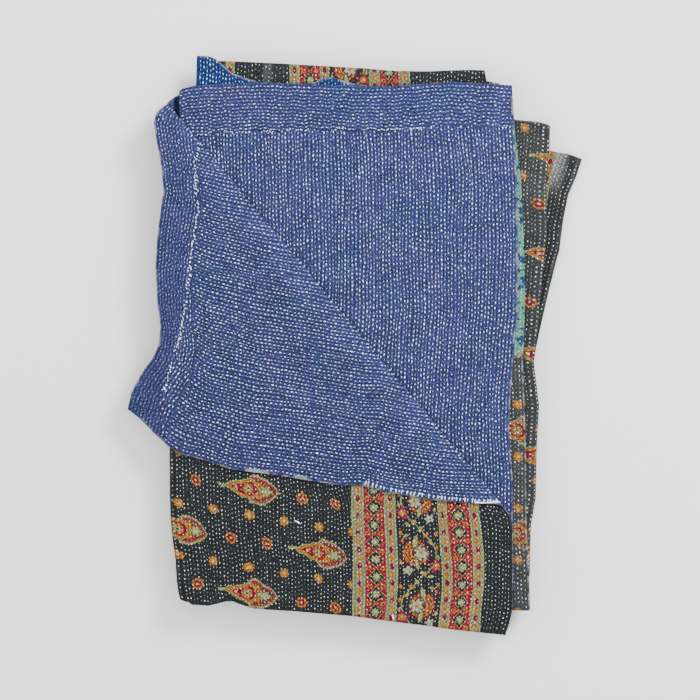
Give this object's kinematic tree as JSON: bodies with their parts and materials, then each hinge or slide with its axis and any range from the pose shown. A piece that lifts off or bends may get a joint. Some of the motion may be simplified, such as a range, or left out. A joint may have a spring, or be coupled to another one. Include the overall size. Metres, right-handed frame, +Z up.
{
  "type": "folded kantha quilt",
  "caption": "Hand-stitched patchwork cotton quilt, printed on one side and blue on the other, folded flat into a thick stack with its top corner turned back",
  "frame": {"origin": "on the floor, under the middle of the folded quilt's outline", "axes": "+Z is up, through the layers; +Y runs along the folded quilt, towards the end with the loose hems; +X runs across it, away from the turned-back corner"},
  "size_m": [0.4988, 0.6377, 0.0479],
  "materials": {
    "printed_cotton": "charcoal cotton with a red, orange and cream floral print and rows of off-white running stitch",
    "blue_cotton": "faded violet-blue cotton with rows of off-white running stitch"
  },
  "bodies": {
    "root": {"face_cloth": "printed_cotton", "backing_cloth": "blue_cotton"}
  },
  "joints": []
}
